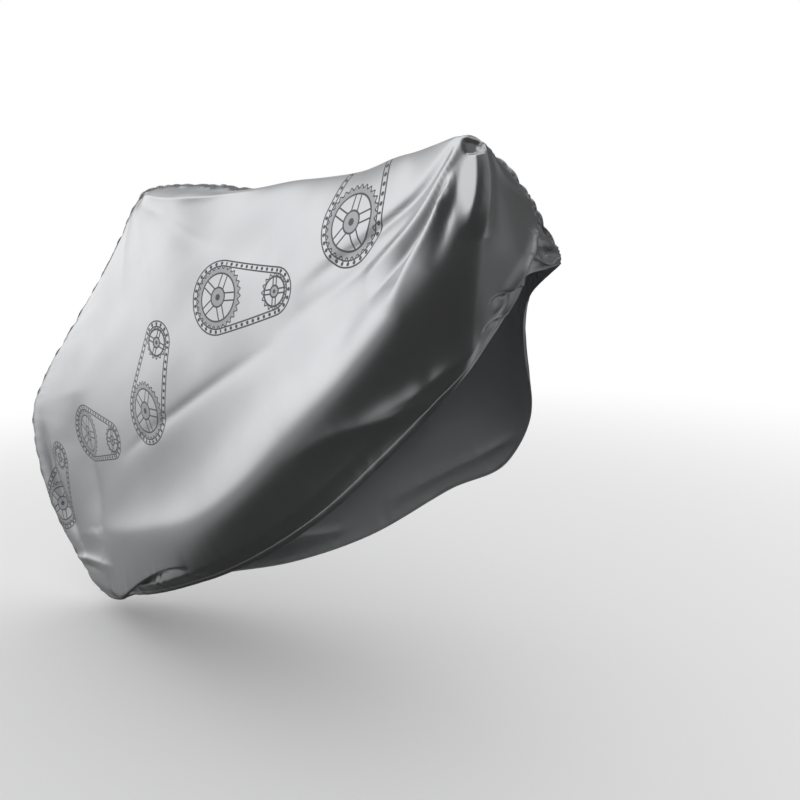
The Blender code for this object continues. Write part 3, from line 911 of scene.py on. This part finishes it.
def bound_strip():
    """Grid of places of the strip, with the run along it and the height up it: the profile carried along
    the seam, standing square to it in the middle plane.  Rectified sines cut sharp notches in its height,
    and its free edge sways sideways on two sines."""
    corners = (0, REAR_CORNER, FRONT_CORNER, len(SEAM_LINE) - 1)
    runs = [seam_stretch(first, last, np.linspace(0.0, 1.0, STRIP_STEPS // 3 + 1))
            for first, last in zip(corners[:-1], corners[1:])]
    line = np.concatenate([runs[0]] + [part[1:] for part in runs[1:]])
    run = run_along(line)
    travel = np.gradient(line, axis=0)
    travel = np.stack([smooth_row(column) for column in travel.T], axis=1)
    travel /= np.linalg.norm(travel, axis=1, keepdims=True)
    rise = np.stack([-travel[:, 1], travel[:, 0]], axis=1)
    fine, middle, long = (np.pi * run / spacing for spacing in PUCKERS)
    waves = (np.abs(np.sin(fine + 0.8 * np.sin(0.37 * fine))), np.abs(np.sin(middle + 1.0)),
             np.sin(2.0 * long + 0.5))
    notch = sum(share * wave for share, wave in zip(PUCKER_SHARES, waves))
    height = np.interp(run / run[-1], *STRIP_HEIGHTS) * (1.0 + PUCKER_DEPTH * (2.0 * notch - 1.0))
    height *= ease(run / STRIP_END) * ease((run[-1] - run) / STRIP_END) * (1.0 - END_HEIGHT) + END_HEIGHT
    sway = STRIP_SWAY * (0.6 * np.sin(2.0 * middle + 0.3) + 0.4 * np.sin(1.3 * fine))
    half, share = np.concatenate([STRIP_PROFILE * (-1.0, 1.0), STRIP_PROFILE[::-1]]).T
    up = height[:, None] * share
    out = half * STRIP_HALF + sway[:, None] * np.clip(share, 0.0, 1.0) ** 1.5
    grid = np.stack([line[:, :1] + rise[:, :1] * up, out, line[:, 1:] + rise[:, 1:] * up], axis=-1)
    return grid, np.broadcast_to(run[:, None], up.shape), up


def tube_faces(grid):
    """The quads of a closed tube on a grid of rings, and its two end caps."""
    rings, around = grid.shape[:2]
    index = np.arange(rings * around).reshape(rings, around)
    turned_on = np.roll(index, -1, axis=1)
    quads = np.stack([index[:-1], turned_on[:-1], turned_on[1:], index[1:]], axis=-1).reshape(-1, 4)
    return quads.tolist() + [index[0, ::-1].tolist(), index[-1].tolist()]


strip_grid, strip_run, strip_up = bound_strip()
strip = placed("bound_strip", strip_grid - MOUNT, tube_faces(strip_grid))
pin_map(strip.data, "tape", np.stack([strip_run, strip_up], axis=-1))

binding, tree, shader = new_finish("bound_seam")
tape_run, tape_up, tape = on_map("tape")
thread = stitches(tape_run, tape_up - STRIP_STITCH_ROW, *STRIP_STITCH)
wrinkles = cloudy(tape, *WRINKLES, WRINKLE_LONG)
ribs = reckoned("SINE", tape_run * (2.0 * np.pi / STRIP_RIB))
# painted shade: the strip's colour darkens to near-black where its wrinkle height is low, in the hollows of
# its wrinkles
coat = blended(fade(wrinkles, *WRINKLE_SHADE_HEIGHTS), STRIP_CREASE_SHADE, STRIP_GREY)
feed(shader.inputs["Base Color"], blended(thread, coat, THREAD))
feed(shader.inputs["Metallic"], stretch(thread, STRIP_METAL, THREAD_METAL))
feed(shader.inputs["Roughness"], thread * THREAD_ROUGH + stretch(wrinkles, *STRIP_ROUGH))
relief = bumped(wrinkles, *WRINKLE_RELIEF)
relief = bumped(ribs, *RIB_RELIEF, relief)
feed(shader.inputs["Normal"], bumped(thread, *STRIP_STITCH_RELIEF, relief))
strip.data.materials.append(binding)
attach(strip, "root")
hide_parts("seam_binding")

# ---------------------------------------------------------------- studio
# A pale floor that runs out to white and stays out of the film's gloss, under an even white surround.
# What the film mirrors is dark but for a broad soft light behind the cover, a weaker one below it, one
# overhead, and three faint reflectors to the cover's left and ahead.
GROUND = -1.130
FLOOR_HALF = 40.0
FLOOR_GREY, FLOOR_ROUGH = (0.86, 0.86, 0.86, 1.0), 0.9
WHITE_FROM, WHITE_FULL = 1.6, 4.5     # distances from the origin over which the floor turns white

corners = np.array([(-1.0, -1.0), (1.0, -1.0), (1.0, 1.0), (-1.0, 1.0)]) * FLOOR_HALF
floor = placed("floor", np.insert(corners, 2, GROUND, axis=1), [(0, 1, 2, 3)])
floor.visible_glossy = False
pale, tree, shader = new_finish("pale_floor")
feed(shader.inputs["Base Color"], FLOOR_GREY)
feed(shader.inputs["Roughness"], FLOOR_ROUGH)
distance = tree.nodes.new("ShaderNodeVectorMath")
distance.operation = "LENGTH"
feed(distance.inputs[0], on_object())
white = tree.nodes.new("ShaderNodeEmission")
both = tree.nodes.new("ShaderNodeMixShader")
feed(both.inputs["Fac"], fade(Value(distance.outputs["Value"]), WHITE_FROM, WHITE_FULL))
feed(both.inputs[1], Value(shader.outputs["BSDF"]))
feed(both.inputs[2], Value(white.outputs["Emission"]))
feed(tree.nodes["Material Output"].inputs["Surface"], Value(both.outputs["Shader"]))
floor.data.materials.append(pale)

# Each light: turn of its middle round from -Y, cosines of the angle from that where it fades out and
# is full, heights of a direction where it fades out and is full, and its strength.
Light = namedtuple("Light", "turn sides foot glow")
BROAD_LIGHT = Light(-95.0, (0.40, 0.95), (-0.40, 0.20), 0.95)
LOW_LIGHT = Light(-80.0, (0.20, 0.90), (-0.80, -0.36), 0.27)
LEAN = 0.05                           # how much lower their feet reach towards the cover's right
OVERHEAD, OVERHEAD_HEIGHTS = 0.80, (0.30, 0.80)
# Each reflector: the way to it, the cosines from that where it fades out and is full, and its strength.
# The last is a dark flag above and behind, which takes light away.
Reflector = namedtuple("Reflector", "way edge glow")
REFLECTORS = (
    Reflector((0.50, 0.86, 0.10), (0.60, 0.97), 0.045),
    Reflector((0.88, 0.47, 0.09), (0.82, 0.985), 0.14),
    Reflector((0.15, 0.87, -0.47), (0.90, 0.985), 0.22),
    Reflector((-0.78, 0.38, 0.50), (0.93, 0.985), -0.72),
)
DARK_GLOW, EVEN_GLOW = 0.022, 0.92

world = bpy.data.worlds.new("surround")
world.use_nodes = True
bpy.context.scene.world = world
tree = world.node_tree
direction = tree.nodes.new("ShaderNodeTexCoord")
parts = tree.nodes.new("ShaderNodeSeparateXYZ")
feed(parts.inputs["Vector"], Value(direction.outputs["Generated"]))
way_x, way_y, way_z = (Value(parts.outputs[axis]) for axis in "XYZ")
level = reckoned("SQRT", way_x * way_x + way_y * way_y + 1e-6)


def light_seen(light):
    """How strongly a light shows in each direction: its fade to the sides times its fade at the foot."""
    turn = np.radians(light.turn)
    towards = way_x * float(np.sin(turn)) - way_y * float(np.cos(turn))
    return fade(towards / level, *light.sides) * fade(way_z - way_y * LEAN, *light.foot) * light.glow


mirrored = light_seen(BROAD_LIGHT) + light_seen(LOW_LIGHT) + DARK_GLOW
mirrored = most(mirrored, fade(way_z, *OVERHEAD_HEIGHTS) * OVERHEAD)
for row in REFLECTORS:
    ahead, aside, above = row.way
    towards = way_x * ahead + way_y * aside + way_z * above
    mirrored = mirrored + fade(towards, *row.edge) * row.glow
rays = tree.nodes.new("ShaderNodeLightPath")
even = stretch(Value(rays.outputs["Is Camera Ray"]), EVEN_GLOW, 1.0)
glossy = Value(rays.outputs["Is Glossy Ray"])
background = tree.nodes["Background"]
feed(background.inputs["Strength"], glossy * mirrored + (1.0 - glossy) * even)
feed(background.inputs["Color"], (1.0, 1.0, 1.0, 1.0))

bpy.context.scene.view_settings.view_transform = "Standard"
